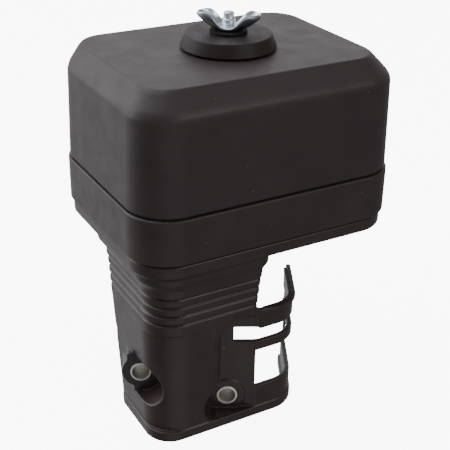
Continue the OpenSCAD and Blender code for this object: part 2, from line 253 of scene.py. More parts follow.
def surface_net(name, grid, field):
    """The zero surface of a sampled distance field, as quads."""
    d = np.ascontiguousarray(np.broadcast_to(field, grid.shape), np.float32)
    inside = d < 0
    corners = [(i, j, k) for i in (0, 1) for j in (0, 1) for k in (0, 1)]
    nx, ny, nz = (s - 1 for s in d.shape)
    count = sum(inside[i:i + nx, j:j + ny, k:k + nz].astype(np.int8) for i, j, k in corners)
    cells = np.argwhere((count > 0) & (count < 8))
    index = np.full((nx, ny, nz), -1, np.int64)
    index[tuple(cells.T)] = np.arange(len(cells))
    values = np.stack([d[cells[:, 0] + i, cells[:, 1] + j, cells[:, 2] + k] for i, j, k in corners], 1)
    total, hits = np.zeros((len(cells), 3)), np.zeros(len(cells))
    for a in range(8):
        for b in range(a + 1, 8):
            pa, pb = np.array(corners[a]), np.array(corners[b])
            if np.abs(pa - pb).sum() != 1:
                continue
            va, vb = values[:, a], values[:, b]
            crossed = (va < 0) != (vb < 0)
            t = np.where(crossed, va / np.where(crossed, va - vb, 1), 0)
            total += np.where(crossed[:, None], pa + (pb - pa) * t[:, None], 0)
            hits += crossed
    verts = (cells + total / hits[:, None]) * grid.step + grid.low
    quads = []
    for axis in range(3):
        u, v = [(1, 2), (2, 0), (0, 1)][axis]
        lo, hi = [slice(None)] * 3, [slice(None)] * 3
        lo[axis], hi[axis] = slice(0, -1), slice(1, None)
        first, second = inside[tuple(lo)], inside[tuple(hi)]
        at = np.argwhere(first != second)
        at = at[(at[:, u] > 0) & (at[:, v] > 0) & (at[:, u] < d.shape[u] - 1) & (at[:, v] < d.shape[v] - 1)]
        outward = first[tuple(at.T)]
        around = []
        for du, dv in ((-1, -1), (0, -1), (0, 0), (-1, 0)):
            c = at.copy()
            c[:, u] += du
            c[:, v] += dv
            around.append(index[tuple(c.T)])
        quad = np.stack(around, 1)
        quad[~outward] = quad[~outward][:, ::-1]
        quads.append(quad)
    quads = np.concatenate(quads)
    mesh = bpy.data.meshes.new(name)
    points = ((verts + np.array(ORIGIN)) * MM).astype(np.float32)
    mesh.vertices.add(len(points))
    mesh.vertices.foreach_set("co", points.ravel())
    mesh.loops.add(quads.size)
    mesh.loops.foreach_set("vertex_index", quads.astype(np.int32).ravel())
    mesh.polygons.add(len(quads))
    mesh.polygons.foreach_set("loop_start", np.arange(0, quads.size, 4, dtype=np.int32))
    mesh.update(calc_edges=True)
    mesh.validate()
    return smooth(add_object(name, mesh), 60)


def thin_out(obj, ratio):
    """Fewer faces where the surface is flat."""
    obj.modifiers.new("thin", "DECIMATE").ratio = ratio
    graph = bpy.context.evaluated_depsgraph_get()
    mesh = bpy.data.meshes.new_from_object(obj.evaluated_get(graph))
    obj.modifiers.clear()
    obj.data = mesh
    return smooth(obj, 60)


# ---- the elbow ----

NECK_LEFT, NECK_FRONT, NECK_BACK = -58, -45, 7
NECK_BOTTOM = -58
FLANGE_LOW = -28.1
BLOCK_LOW = -34.3
RIM_TOP = 5 - ELBOW_DEPTH
GROOVES = [-39.5 - 4.35 * i for i in range(4)]
STEP_X = 15.8
PLATE_FRONT, PLATE_END = 1 - BOSS_DEPTH, 33
GUARD_REACH, GUARD_END, BEND_R, GUARD_WALL = 50.6, 26, 15, 2.4
GUARD_TOP = -56
SLOT_TOP, SLOT_LOW, SLOT_START = -65, -72.5, 22.5
WINDOW_TOP, WINDOW_LOW, WINDOW_START = -77.5, -97.5, -8
OUTLET_Z = -SEAM
SCREWS = [(-47, 31), (47, 33), (47, -33), (13, -33)]
SCREW_BOSS_R = 4.5
BREATHER_X, BREATHER_Z = -38, -48
EAR = (-4.6, 8.6)
MOUNT_FLANGE_R, MOUNT_FLANGE_T = 19, 4.6
WEB_FOOT, WEB_SLOPE = -74, 0.86

GUARD_CX = GUARD_REACH - BEND_R
GUARD_CY = (math.sin(TURN) * GUARD_CX - (-NECK_FRONT - BOX_Y - BEND_R)) / math.cos(TURN)


def to_mount(x, y):
    """Plan coordinates of the carburettor's face: along it, and out of it."""
    dx, dy = x + BOX_X, y + BOX_Y
    c, s = math.cos(TURN), math.sin(TURN)
    return dx * c - dy * s, dx * s + dy * c


def segment_2d(x, y, ax, ay, bx, by, ra=0.0, rb=0.0):
    """Distance to a line whose thickness changes from ra to rb."""
    dx, dy = bx - ax, by - ay
    t = np.clip(((x - ax) * dx + (y - ay) * dy) / (dx * dx + dy * dy), 0, 1)
    return np.hypot(x - ax - t * dx, y - ay - t * dy) - ra - (rb - ra) * t


def corner_block(x, y, x0, y0, x1, y1, r_front_left, r_other):
    """A block in plan whose front left corner is rounder than the others."""
    big = block_2d(x, y, x0, y0, x1, y1, r_front_left)
    small = block_2d(x, y, x0, y0, x1, y1, r_other)
    front_left = (x < x0 + r_front_left) & (y < y0 + r_front_left)
    return np.where(front_left, big, small)


def guard_2d(lx, ly):
    """Distance to the lever guard's wall in plan, in the mount's coordinates."""
    r = BEND_R - GUARD_WALL / 2
    run = 9.6
    c, s = math.cos(TURN), math.sin(TURN)
    ax, ay = GUARD_CX + r * s, GUARD_CY - r * c
    front = segment_2d(lx, ly, ax, ay, ax - run * c, ay - run * s)
    side = segment_2d(lx, ly, GUARD_CX + r, GUARD_CY, GUARD_CX + r, GUARD_END - GUARD_WALL / 2)
    dx, dy = lx - GUARD_CX, ly - GUARD_CY
    in_bend = (dy < 0) & (dx * c + dy * s > 0)
    bend = np.where(in_bend, np.abs(np.hypot(dx, dy) - r), 1e3)
    return np.minimum(np.minimum(front, side), bend) - GUARD_WALL / 2


def guard_area_2d(lx, ly):
    """Distance to the area inside the guard, in plan."""
    dx, dy = lx - GUARD_CX, ly - GUARD_CY
    c, s = math.cos(TURN), math.sin(TURN)
    past_front, past_side = dx * s - dy * c - BEND_R, dx - BEND_R
    in_bend = (dy < 0) & (dx * c + dy * s > 0)
    return np.where(in_bend, np.hypot(dx, dy) - BEND_R, np.maximum(past_front, past_side))


def neck_limits(z):
    """Right and back of the neck at a level: both lean in towards the bottom."""
    right = -5.6 - 0.115 * np.clip(-36 - z, 0, 22)
    return right, NECK_BACK - 0.18 * np.clip(-42 - z, 0, 90)


def neck_field(x, y, z, right, back):
    """Ribbed neck, the thicker block over it and the flange."""
    cut = -0.5 / (1 + np.exp(-np.clip(z - GROOVES[0], -9, 9) / 0.3))
    for level in GROOVES:
        cut = cut + 0.75 * np.exp(-((z - level) / 0.5) ** 2) - 0.12 * np.exp(-((z - level + 2.2) / 1.3) ** 2)
    plan = corner_block(x, y, NECK_LEFT + cut, NECK_FRONT + cut, right, back - cut, 14, 2.2)
    neck = extrude(plan, slab(z, NECK_BOTTOM, FLANGE_TOP - 1), 0.3)
    block_plan = corner_block(x, y, NECK_LEFT - 2.8, NECK_FRONT - 1.2, -2.4, NECK_BACK + 6, 15.5, 4)
    block = extrude(block_plan, slab(z, BLOCK_LOW, FLANGE_TOP - 1), 3.4)
    flange_plan = rectangle_2d(x, y, 0, 0, CASE_HX - 1.2, CASE_HY - 1.2, CORNER_R - 1)
    flange = extrude(flange_plan, slab(z, FLANGE_LOW, FLANGE_TOP), 1.1)
    return smooth_min(smooth_min(neck, block, 2.0), flange, 1.6)


def recess_corner(x, y, z, lx, ly):
    """Fills the recess's upper left corner to a round one."""
    r, x1, z1 = 8, STEP_X + 8, NECK_BOTTOM - 8
    fill = np.maximum(block_2d(lx, z, STEP_X - 3, z1, x1, NECK_BOTTOM + 0.5, 0.2), r - np.hypot(lx - x1, z - z1))
    front = corner_block(x, y, NECK_LEFT, NECK_FRONT, WINDOW_START, NECK_BACK, 15, 1)
    return np.maximum(smooth_max(fill, front, 1.2), ly - PLATE_FRONT - 1)


def guard_field(x, y, z, lx, ly):
    """Slotted plate, and the guard that goes on from it round the bend."""
    plate = extrude(block_2d(lx, ly, STEP_X - 3, PLATE_FRONT, PLATE_END, PLATE_FRONT + 2.5, 0.4),
                    slab(z, 1 - ELBOW_DEPTH, NECK_BOTTOM + 2), 0.4)
    wall = guard_2d(lx, ly)
    guard = extrude(wall, slab(z, 1 - ELBOW_DEPTH, GUARD_TOP), 0.5)
    # a lip along the top; its inner half ends early, and a fine groove parts the halves
    bend = np.clip((lx - GUARD_CX) / 6, 0, 1)
    area = guard_area_2d(lx, ly)
    lip = np.maximum(np.maximum(area - 1.0 * bend, -area - GUARD_WALL), np.maximum(ly - GUARD_END, GUARD_CX - lx))
    guard = smooth_min(guard, extrude(lip, slab(z, GUARD_TOP - 2.2, GUARD_TOP), 0.4), 0.6)
    middle = lx - (GUARD_REACH - GUARD_WALL / 2)
    guard = np.maximum(guard, -np.maximum(middle, GUARD_END - 3.5 - ly))
    groove = np.hypot(middle, np.minimum(z - GUARD_TOP, 0)) - 0.45
    guard = np.where(ly > GUARD_CY, np.maximum(guard, -groove), guard)
    return smooth_min(plate, guard, 1.2)


def rim_field(x, y, z, lx, ly, back):
    """Lip round the bottom, and the floor in front of the carburettor."""
    lip = corner_block(x, y, NECK_LEFT - 0.7, NECK_FRONT - 0.7, WINDOW_START + 5, back, 12.5, 3)
    lip = np.minimum(lip, guard_2d(lx, ly) - 0.7)
    rim = extrude(lip, slab(z, -ELBOW_DEPTH, RIM_TOP), 0.6)
    area = np.maximum(np.maximum(guard_area_2d(lx, ly) + 1, -lx), ly - 1)
    return np.minimum(rim, np.maximum(area, slab(z, -ELBOW_DEPTH, 2.4 - ELBOW_DEPTH)))


def elbow_field(x, y, z):
    lx, ly = to_mount(x, y)
    right, back = neck_limits(z)
    body = neck_field(x, y, z, right, back)

    # lower duct, which ends at the step on its right
    duct_plan = corner_block(x, y, NECK_LEFT, NECK_FRONT, right, back, 15.5, 2.2)
    duct_plan = smooth_max(duct_plan, lx - STEP_X, 2.6)
    body = smooth_min(body, extrude(duct_plan, slab(z, -ELBOW_DEPTH, NECK_BOTTOM + 2), 0.5), 0.4)
    body = smooth_min(body, recess_corner(x, y, z, lx, ly), 0.6)
    body = smooth_min(body, guard_field(x, y, z, lx, ly), 2.2)
    body = smooth_min(body, rim_field(x, y, z, lx, ly, back), 0.5)

    # stud bosses, with an ear on the left one, and the mounting flange
    reach_x, reach_z = STUD_PITCH / 2 * math.cos(STUD_SLOPE), STUD_PITCH / 2 * math.sin(STUD_SLOPE)
    h = z - OUTLET_Z
    lu, lw, ru, rw = lx + reach_x, h - reach_z, lx - reach_x, h + reach_z
    boss_span = slab(ly, -BOSS_DEPTH, 1)
    ear = segment_2d(lu, lw, 0, 0, *EAR, BOSS_R, 1.6)
    body = smooth_min(body, extrude(np.minimum(np.hypot(lu, lw) - BOSS_R, ear), boss_span, 0.5), 0.8)
    body = smooth_min(body, extrude(np.hypot(ru, rw) - BOSS_R, boss_span, 0.5), 0.5)
    c, s = math.cos(STUD_SLOPE), math.sin(STUD_SLOPE)
    strap = rectangle_2d(lx * c - h * s, lx * s + h * c, 0, 0, STUD_PITCH / 2, BOSS_R - 0.5, 1)
    outline = np.minimum(np.hypot(lx, h) - MOUNT_FLANGE_R, strap)
    body = np.minimum(body, extrude(outline, slab(ly, -MOUNT_FLANGE_T, 1), 0.4))

    # room for the carburettor: behind its face, and under the slanted web that joins it to the neck
    rise = np.maximum(z - WEB_FOOT, 0)
    web = (WEB_SLOPE * rise - ly) / 1.2
    carburettor = np.maximum(np.maximum(web, z - NECK_BOTTOM - 0.3), lx - (GUARD_REACH - GUARD_WALL - 1))
    body = np.maximum(body, -carburettor)

    # bosses under the flange, and the breather spigot
    for px, py in SCREWS:
        boss = extrude(np.hypot(x - px, y - py) - SCREW_BOSS_R, slab(z, FLANGE_LOW - 3, FLANGE_TOP - 1), 0.5)
        body = smooth_min(body, boss, 0.6)
    body = np.maximum(body, -np.maximum(np.hypot(x, y) - 6.6, slab(z, -36, -34)))
    body = smooth_min(body, extrude(np.hypot(x, y) - 7, slab(z, -34, FLANGE_TOP - 1), 0.5), 0.6)
    off_spigot = np.hypot(x - BREATHER_X, z - BREATHER_Z)
    barb = 0.4 * np.exp(-((y - NECK_BACK - 8.5) / 0.9) ** 2)
    body = np.minimum(body, extrude(off_spigot - 5.1 - barb, slab(y, NECK_BACK - 3, NECK_BACK + 11), 0.4))
    body = smooth_min(body, extrude(off_spigot - 7.8, slab(y, NECK_BACK - 3, NECK_BACK + 0.5), 0.3), 0.8)

    # air passage
    upper = extrude(corner_block(x, y, NECK_LEFT + 2.5, NECK_FRONT + 2.5, right - 2.5, back - 2.5, 11.5, 1),
                    slab(z, NECK_BOTTOM + 2.5, 5), 1)
    lower = extrude(smooth_max(duct_plan + 2.5, ly + 4, 1), slab(z, 2.5 - ELBOW_DEPTH, NECK_BOTTOM + 5), 0.8)
    lower = np.maximum(lower, 0.86 * (ly - WEB_SLOPE * rise) + 2.4)
    for u, w in ((lu, lw), (ru, rw)):
        lower = np.maximum(lower, np.where(ly < 2 - BOSS_DEPTH, POCKET_R + 2, BOSS_R) - np.hypot(u, w))
    body = np.maximum(body, -np.minimum(upper, lower))

    # holes
    outlet = np.maximum(np.hypot(lx, h) - OUTLET_R, slab(ly, -8, 5))
    stud_hole = np.maximum(np.hypot(x, y) - STUD_R - 0.3, z + 20)
    breather = np.maximum(off_spigot - 4, slab(y, NECK_BACK - 5, NECK_BACK + 15))
    holes = np.minimum(np.minimum(outlet, np.maximum(stud_hole, -z - 60)), breather)
    for px, py in SCREWS:
        holes = np.minimum(holes, np.maximum(np.hypot(x - px, y - py) - 2.25, slab(z, -40, -15)))
    for u, w in ((lu, lw), (ru, rw)):
        holes = np.minimum(holes, np.maximum(np.hypot(u, w) - COLLAR_R - 0.1, slab(ly, -60, 5)))
    body = smooth_max(body, -holes, 0.3)

    # slot and window through the plate and the guard; the slot is lower round the bend than on the plate
    slot_roof = SLOT_TOP - 1.2 * np.clip((x - WINDOW_START - 0.6) / 1.4, 0, 1)
    level = np.maximum(SLOT_LOW - z, z - slot_roof)
    slot = np.maximum(np.maximum(SLOT_START - lx, ly - GUARD_END + 10), level)
    slot_end = np.maximum(np.maximum(slab(ly, GUARD_END - 8, GUARD_END - 2.5), GUARD_CX - lx), level)
    window = np.maximum(slab(z, WINDOW_LOW, WINDOW_TOP), np.maximum(WINDOW_START - x, ly - GUARD_END + 2.5))
    window = np.maximum(window, -lx)
    body = smooth_max(body, -np.minimum(np.minimum(slot, slot_end), window), 0.7)

    # room for a spanner in front of each boss
    left_pocket = np.minimum(np.hypot(lu, lw) - POCKET_R, segment_2d(lu, lw, 0, 0, *EAR, BOSS_R, 3.2))
    pockets = np.minimum(left_pocket, np.hypot(ru, rw) - POCKET_R)
    pockets = np.maximum(np.maximum(pockets, ly + BOSS_DEPTH), RIM_TOP + 0.2 - z)
    return smooth_max(body, -pockets, 0.8)


def settle_on(obj, field, low, high, rounds=2):
    """Moves a mesh's points onto the field's zero surface, within its limits."""
    mesh = obj.data
    co = np.empty(len(mesh.vertices) * 3, np.float32)
    mesh.vertices.foreach_get("co", co)
    p = co.reshape(-1, 3).astype(float) / MM - np.array(ORIGIN)
    e = 0.05
    for _ in range(rounds):
        d = field(p[:, 0], p[:, 1], p[:, 2])
        g = np.stack([field(*(p + e * np.eye(3)[i]).T) - d for i in range(3)], 1) / e
        size = np.maximum((g * g).sum(1), 0.25)
        step = -(d / size)[:, None] * g
        p = np.clip(p + np.clip(step, -0.2, 0.2), low, high)
    mesh.vertices.foreach_set("co", ((p + np.array(ORIGIN)) * MM).astype(np.float32).ravel())
    mesh.update()
    return obj


def make_elbow():
    reach_x, reach_y = elbow_hi.x - BOX_X, elbow_hi.y - BOX_Y
    low, high = (-CASE_HX, -CASE_HY, -ELBOW_DEPTH), (reach_x, reach_y, FLANGE_TOP)
    return field_piece("elbow_shell", elbow_field, low, high, ELBOW_STEP, 0.35)


# ---- oil case and cover ----

SHOULDER_H = 9.2
SIDE_LEAN = (1.2, 0.8)
TOP_LEFT, TOP_RIGHT, TOP_FRONT, TOP_BACK = -55.8, 54, -39.3, 42.7


def case_field(x, y, z):
    plan = rectangle_2d(x, y, 0, 0, CASE_HX, CASE_HY, CORNER_R)
    body = extrude(plan, slab(z, -CASE_H, -0.4), 0.8)
    well = extrude(plan + 5.4, slab(z, 2 - CASE_H, 10), 2)
    wide = extrude(plan + WALL, slab(z, 2 - CASE_H, -3.2), 1.6)
    body = np.maximum(body, -np.minimum(well, wide))
    body = np.minimum(body, extrude(np.abs(plan + 4.5) - 0.9, slab(z, -3, 3), 0.3))
    # outlet standpipe, stud boss, screw bosses and floor ribs
    off_pipe = np.hypot(x - PIPE[0], y - PIPE[1])
    body = smooth_min(body, extrude(off_pipe - PIPE_R - 2, slab(z, -CASE_H, PIPE_TOP), 0.5), 1.5)
    body = smooth_min(body, extrude(np.hypot(x, y) - 8, slab(z, -CASE_H, 7.3 - CASE_H), 0.5), 1.2)
    for px, py in SCREWS:
        boss = extrude(np.hypot(x - px, y - py) - SCREW_BOSS_R, slab(z, -CASE_H, 12 - CASE_H), 0.5)
        body = smooth_min(body, boss, 1.2)
    ribs = np.maximum(np.minimum(np.abs(y), np.abs(x)) - 0.8, plan + 1)
    body = smooth_min(body, np.maximum(ribs, slab(z, -CASE_H, 4 - CASE_H)), 1.0)
    holes = np.maximum(off_pipe - PIPE_R, slab(z, -CASE_H - 5, PIPE_TOP + 5))
    holes = np.minimum(holes, np.maximum(np.hypot(x, y) - STUD_R - 0.3, slab(z, -40, 0)))
    for px, py in SCREWS:
        holes = np.minimum(holes, np.maximum(np.hypot(x - px, y - py) - 2.1, slab(z, -40, 10 - CASE_H)))
    return smooth_max(body, -holes, 0.3)


def cover_plan(x, y, z, inset):
    """Distance in plan to the cover's side, which leans in and breaks softly into a sloping shoulder."""
    low, top_z = 0.4, COVER_H - SHOULDER_H

    def half_size(foot, lean, top_half):
        side = foot - lean * (z - low) / (top_z - low)
        slope = (foot - lean - top_half) / SHOULDER_H
        return smooth_min(side, top_half + slope * (COVER_H - z), 1.8)

    hx = half_size(COVER_HX, SIDE_LEAN[0], (TOP_RIGHT - TOP_LEFT) / 2)
    hy = half_size(COVER_HY, SIDE_LEAN[1], (TOP_BACK - TOP_FRONT) / 2)
    shoulder = np.clip((z - top_z) / SHOULDER_H, 0, 1)
    cx, cy = (TOP_LEFT + TOP_RIGHT) / 2 * shoulder, (TOP_FRONT + TOP_BACK) / 2 * shoulder
    radius = CORNER_R - 1 * np.clip((z - low) / top_z, 0, 1) - 4 * np.clip(shoulder * 1.2, 0, 1)
    return rectangle_2d(x, y, cx, cy, hx - inset, hy - inset, radius - inset)


def cover_field(x, y, z):
    body = extrude(cover_plan(x, y, z, 0) * 0.95, slab(z, 0.4, COVER_H), 0.45)
    hollow = extrude(cover_plan(x, y, z, WALL) * 0.95, slab(z, -5, COVER_H - WALL), 2.0)
    body = np.maximum(body, -hollow)
    off_axis = np.hypot(x, y)
    # inlet tube with a bell mouth, pegs for the grid, and stiffening ribs under the top
    tube = extrude(off_axis - TUBE_R - 2, slab(z, TUBE_END, COVER_H - 0.5), 0.6)
    body = smooth_min(body, tube, 1.5)
    for sx in (-1, 1):
        for sy in (-1, 1):
            peg = extrude(np.hypot(x - sx * 50, y - sy * 32) - 2.5, slab(z, 29.9, COVER_H - 1), 0.4)
            body = smooth_min(body, peg, 1.2)
    ribs = np.maximum(np.minimum(np.abs(y), np.abs(x)) - 0.9, slab(z, COVER_H - WALL - 4, COVER_H - 1))
    ribs = np.maximum(ribs, cover_plan(x, y, z, 1.5))
    body = smooth_min(body, ribs, 1.0)
    bore = np.maximum(off_axis - TUBE_R, slab(z, TUBE_END - 5, COVER_H + 5))
    body = smooth_max(body, -bore, 0.4)
    # hub and three arms that centre the stud in the inlet
    arms = off_axis - 6
    for k in range(3):
        a = math.radians(30 + 120 * k)
        arms = np.minimum(arms, segment_2d(x, y, 0, 0, (TUBE_R + 1) * math.cos(a), (TUBE_R + 1) * math.sin(a)) - 1.2)
    body = smooth_min(body, extrude(arms, slab(z, COVER_H - 5, COVER_H), 0.3), 0.4)
    return np.maximum(body, -np.maximum(off_axis - STUD_R - 0.3, slab(z, COVER_H - 10, COVER_H + 5)))


def cap_field(x, y, z):
    low, high = cap_lo.z - SEAM + 0.8, cap_hi.z - SEAM
    foot_r = (cap_hi.x - cap_lo.x) / 2
    off_axis = np.hypot(x, y)
    side = (off_axis - foot_r + 2.3 * (z - low) / (high - low)) * 0.93
    body = extrude(side, slab(z, low, high), 0.35)
    body = np.maximum(body, -extrude(side + 2.1, slab(z, low - 5, high - 1.7), 0.8))
    feet = off_axis - 6
    for k in range(3):
        a = math.radians(120 * k)
        c, s = math.cos(a), math.sin(a)
        feet = np.minimum(feet, segment_2d(x, y, 0, 0, (foot_r - 3.2) * c, (foot_r - 3.2) * s) - 1.2)
    body = smooth_min(body, extrude(feet, slab(z, low - 0.8, high - 1), 0.3), 0.6)
    return np.maximum(body, -np.maximum(off_axis - STUD_R - 0.3, slab(z, low - 5, high + 5)))


# ---- wing nut and stud ----

WING_AT = [0, 2.2, 3.5, 4.5, 5.5, 6.5, 8.2, 10, 11.8, 13.1, 13.9]
WING_EDGE = [0.5, 0.7, 1.5, 2.5, 3.6, 4.9, 6.1, 6.5, 6.3, 6.1, 6.2]
WING_BOTTOM = [0, 0, 0, 0, 0.15, 0.5, 1.3, 2.5, 4.0, 5.2, 5.9]
WING_HALF_WIDTH = [5.3, 5.3, 5.2, 5.1, 5.0, 4.9, 4.7, 4.2, 3.2, 1.9, 0.7]
WING_TURN, WING_SHEET = math.radians(-39), 1.2


def along_wing(u, values):
    """A value along the wing, with the table's corners rounded."""
    return sum(np.interp(np.abs(np.abs(u) + d), WING_AT, values) for d in (-0.8, -0.4, 0, 0.4, 0.8)) / 5


def wing_sheet(u, v):
    """Height of the pressed sheet: a trough with its edges turned up, which sweeps up towards each tip."""
    bottom, edge = along_wing(u, WING_BOTTOM), along_wing(u, WING_EDGE)
    return bottom + (edge - bottom) * np.minimum(np.abs(v) / along_wing(u, WING_HALF_WIDTH), 1.1) ** 2.1


def wing_field(x, y, z):
    c, s = math.cos(WING_TURN), math.sin(WING_TURN)
    u, v, w = x * c + y * s, -x * s + y * c, z - (wing_lo.z - SEAM)
    sheet, e = WING_SHEET, 0.15
    height = wing_sheet(u, v)
    slope_u = (wing_sheet(u + e, v) - wing_sheet(u - e, v)) / (2 * e)
    slope_v = (wing_sheet(u, v + e) - wing_sheet(u, v - e)) / (2 * e)
    off_sheet = np.abs(w - height - sheet / 2) / np.sqrt(1 + slope_u ** 2 + slope_v ** 2) - sheet / 2
    sides = np.maximum(np.abs(v) - along_wing(u, WING_HALF_WIDTH), np.abs(u) - WING_AT[-1])
    skin = extrude(sides * 0.9, off_sheet, 0.5)
    off_axis = np.hypot(x, y)
    body = smooth_min(skin, extrude(off_axis - 4.4, slab(w, 0, 1.9), 0.3), 0.8)
    body = np.maximum(body, -w)
    thread = 0.12 * np.cos(2 * math.pi * w - np.arctan2(y, x))
    return np.maximum(body, STUD_R + 0.1 - thread - off_axis)


def make_stud():
    """M6 stud: threaded at both ends, with a plain nib on top."""
    pitch, depth, segments = 1.0, 0.42, 48
    nib_foot, nib_r = STUD_TOP - 2.4, 2.3
    thread_ends = ((STUD_FOOT + 0.5, STUD_FOOT + 24), (nib_foot - 22, nib_foot - 0.7))
    levels = [STUD_FOOT, STUD_FOOT + 0.5]
    for start, end in thread_ends:
        levels += list(np.arange(start, end, pitch / 8))
    levels = sorted(set(round(float(v), 4) for v in levels))
    verts, faces = [], []
    for z in levels:
        for k in range(segments):
            a = 2 * math.pi * k / segments
            r = STUD_R
            for start, end in thread_ends:
                if start <= z <= end:
                    fade = min(1, (z - start) / 1.2, (end - z) / 1.2)
                    phase = (z / pitch - k / segments) % 1
                    r = STUD_R - depth * max(0, fade) * abs(2 * phase - 1)
            if z < STUD_FOOT + 0.4:
                r = STUD_R - 0.6
            verts.append((r * math.cos(a), r * math.sin(a), z))
    nib = ((STUD_R - 0.3, nib_foot - 0.5), (nib_r, nib_foot), (nib_r, STUD_TOP - 0.4), (nib_r - 0.4, STUD_TOP))
    for r, z in nib:
        verts += circle(r, z, segments)
    rows = len(verts) // segments
    for i in range(rows - 1):
        for k in range(segments):
            n = (k + 1) % segments
            faces.append((i * segments + k, i * segments + n, (i + 1) * segments + n, (i + 1) * segments + k))
    faces.append(list(range(segments))[::-1])
    faces.append([(rows - 1) * segments + k for k in range(segments)])
    return smooth(make_object("stud", verts, faces), 40)


# ---- filter, seals and fasteners ----

def grid_field(hx, hy, r, z0, z1, tube_hole, pipe_hole):
    """Moulded lattice with a frame, a ring round the inlet tube and a ring round the standpipe."""
    pitch, window = 11, 4.5

    def field(x, y, z):
        plan = rectangle_2d(x, y, 0, 0, hx, hy, r)
        wx = np.abs((x / pitch) % 1 - 0.5) * pitch
        wy = np.abs((y / pitch) % 1 - 0.5) * pitch
        bars = -rectangle_2d(wx, wy, 0, 0, window, window, 0.8)
        off_tube, off_pipe = np.hypot(x, y), np.hypot(x - PIPE[0], y - PIPE[1])
        solid = np.minimum(bars, np.abs(plan + 1.75) - 1.75)
        solid = np.minimum(solid, np.minimum(off_tube - tube_hole - 2.5, off_pipe - pipe_hole - 2.5))
        plate = np.maximum(np.maximum(solid, plan), np.maximum(tube_hole - off_tube, pipe_hole - off_pipe))
        return extrude(plate, slab(z, z0, z1), 0.35)
    return field


def foam_field(x, y, z):
    """Open-cell foam block: a soft edge and a surface broken by pores."""
    low, high = element_lo.z - SEAM, element_hi.z - SEAM
    hx, hy = (element_hi.x - element_lo.x) / 2, (element_hi.y - element_lo.y) / 2
    body = extrude(rectangle_2d(x, y, 0, 0, hx, hy, 14), slab(z, low, high), 1.4)
    body = smooth_max(body, TUBE_R + 3 - np.hypot(x, y), 1.2)
    body = smooth_max(body, PIPE_R + 2.8 - np.hypot(x - PIPE[0], y - PIPE[1]), 1.2)
    wx = x + 0.9 * np.sin(1.3 * y + 0.4)
    wy = y + 0.9 * np.sin(1.1 * z + 1.7)
    wz = z + 0.9 * np.sin(1.2 * x + 2.9)
    pores = np.sin(2.1 * wx) * np.cos(2.3 * wy) + np.sin(2.2 * wy) * np.cos(2.0 * wz)
    pores = pores + np.sin(2.4 * wz) * np.cos(2.2 * wx)
    return body + 0.35 + 0.3 * np.clip(pores, -1, 1)


def hex_nut_field(z0, z1):
    def field(x, y, z):
        across = 5.0
        sides = [np.abs(x * math.cos(a) + y * math.sin(a)) for a in np.radians([0, 60, 120])]
        body = extrude(np.maximum(np.maximum(*sides[:2]), sides[2]) - across, slab(z, z0, z1), 0.1)
        middle = (z0 + z1) / 2
        cone = (np.hypot(x, y) - 5.5 + 1.0 * (np.abs(z - middle) - (z1 - z0) / 2 + 0.3)) * 0.7
        bore = STUD_R + 0.1 - 0.12 * np.cos(2 * math.pi * z - np.arctan2(y, x)) - np.hypot(x, y)
        return np.maximum(np.maximum(body, cone), bore)
    return field


def screw_field(head, tip):
    """Pan head screw with a cross recess; the thread is a helix."""
    def field(x, y, z):
        off_axis = np.hypot(x, y)
        bowl = np.hypot(np.maximum(off_axis - 1.8, 0), np.maximum(head + 2 - z, 0)) - 2
        body = np.maximum(bowl, z - head - 2.6)
        thread = 0.2 * np.cos(2 * math.pi * z / 0.9 - np.arctan2(y, x))
        body = np.minimum(body, extrude(off_axis - 1.75 - thread, slab(z, head + 1, tip), 0.3))
        cross = np.minimum(np.maximum(np.abs(x) - 0.45, np.abs(y) - 2.1), np.maximum(np.abs(y) - 0.45, np.abs(x) - 2.1))
        return np.maximum(body, -np.maximum(cross, z - head - 1.0))
    return field


def gasket_field(hx, hy, z0, z1):
    """A sheet gasket with the neck's opening and the screws' holes."""
    def field(x, y, z):
        plan = rectangle_2d(x, y, 0, 0, hx, hy, CORNER_R - 2)
        neck = corner_block(x, y, NECK_LEFT + WALL, NECK_FRONT + WALL, -7 - WALL, NECK_BACK - WALL, 11.6, 3)
        plan = np.maximum(np.maximum(plan, -neck), STUD_R + 0.3 - np.hypot(x, y))
        for px, py in SCREWS:
            plan = np.maximum(plan, 2.25 - np.hypot(x - px, y - py))
        return extrude(plan, slab(z, z0, z1), 0.2)
    return field


def field_piece(name, field, low, high, step, keep=None, rounds=2):
    """A piece from a distance field, with its points settled on the true surface and kept inside its limits."""
    grid = Grid([v - 1.5 * step for v in low], [v + 1.5 * step for v in high], step)
    obj = settle_on(surface_net(name, grid, field(grid.x, grid.y, grid.z)), field, low, high, rounds)
    return thin_out(obj, keep) if keep else obj


def copies(obj, name, places):
    """One object with a copy of a mesh at each place."""
    meshes = [obj.data.copy() for _ in places]
    for mesh, (px, py) in zip(meshes, places):
        mesh.transform(Matrix.Translation((px * MM, py * MM, 0)))
    return join(name, meshes, [obj], 50)


def washer(name, outer, inner, z0, z1, edge=0.25, groove=0.0):
    """A flat ring with broken edges and, if wanted, a groove round its rim."""
    points = [(inner, z0), (outer, z0)]
    radii = [edge, edge]
    if groove:
        middle = (z0 + z1) / 2
        points += [(outer, middle - groove), (outer - groove, middle), (outer, middle + groove)]
        radii += [0.1, 0.15, 0.1]
    points += [(outer, z1), (inner, z1)]
    radii += [edge, edge]
    return lathe(name, rounded_ring(points, radii, 4))


